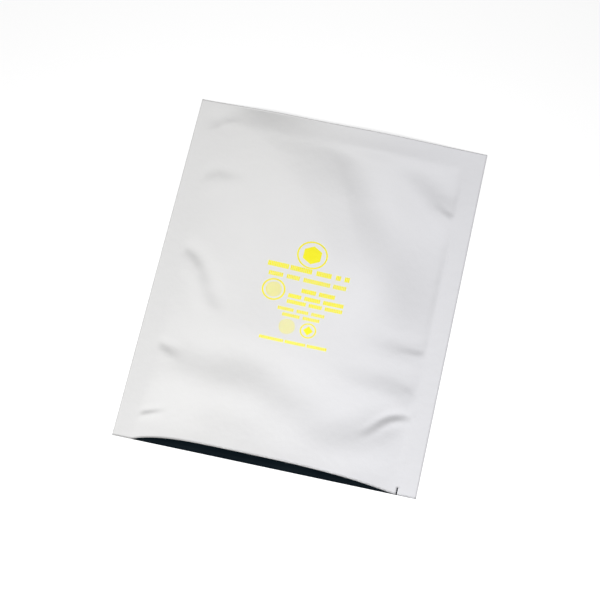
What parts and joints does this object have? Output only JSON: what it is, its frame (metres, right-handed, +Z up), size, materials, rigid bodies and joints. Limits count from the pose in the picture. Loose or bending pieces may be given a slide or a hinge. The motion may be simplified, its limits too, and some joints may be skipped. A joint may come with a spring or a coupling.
{
  "type": "moisture barrier bag",
  "caption": "Flat open-mouthed pouch of metallised barrier film, heat-sealed along both sides and one end, its front web creased and lifted in a low arch at the mouth.",
  "frame": {"origin": "centre of the bag's underside, on the surface it lies on", "axes": "+X across the bag, from the left side seal to the right one seen from above with the mouth nearest; +Y along the bag, from the open mouth to the sealed end; +Z up, out of the front web"},
  "size_m": [0.2032, 0.254, 0.0069],
  "materials": {
    "metallised_film": "satin",
    "inner_film": "satin",
    "yellow_ink": "satin"
  },
  "bodies": {
    "root": {"barrier_bag": "metallised_film"}
  },
  "joints": []
}
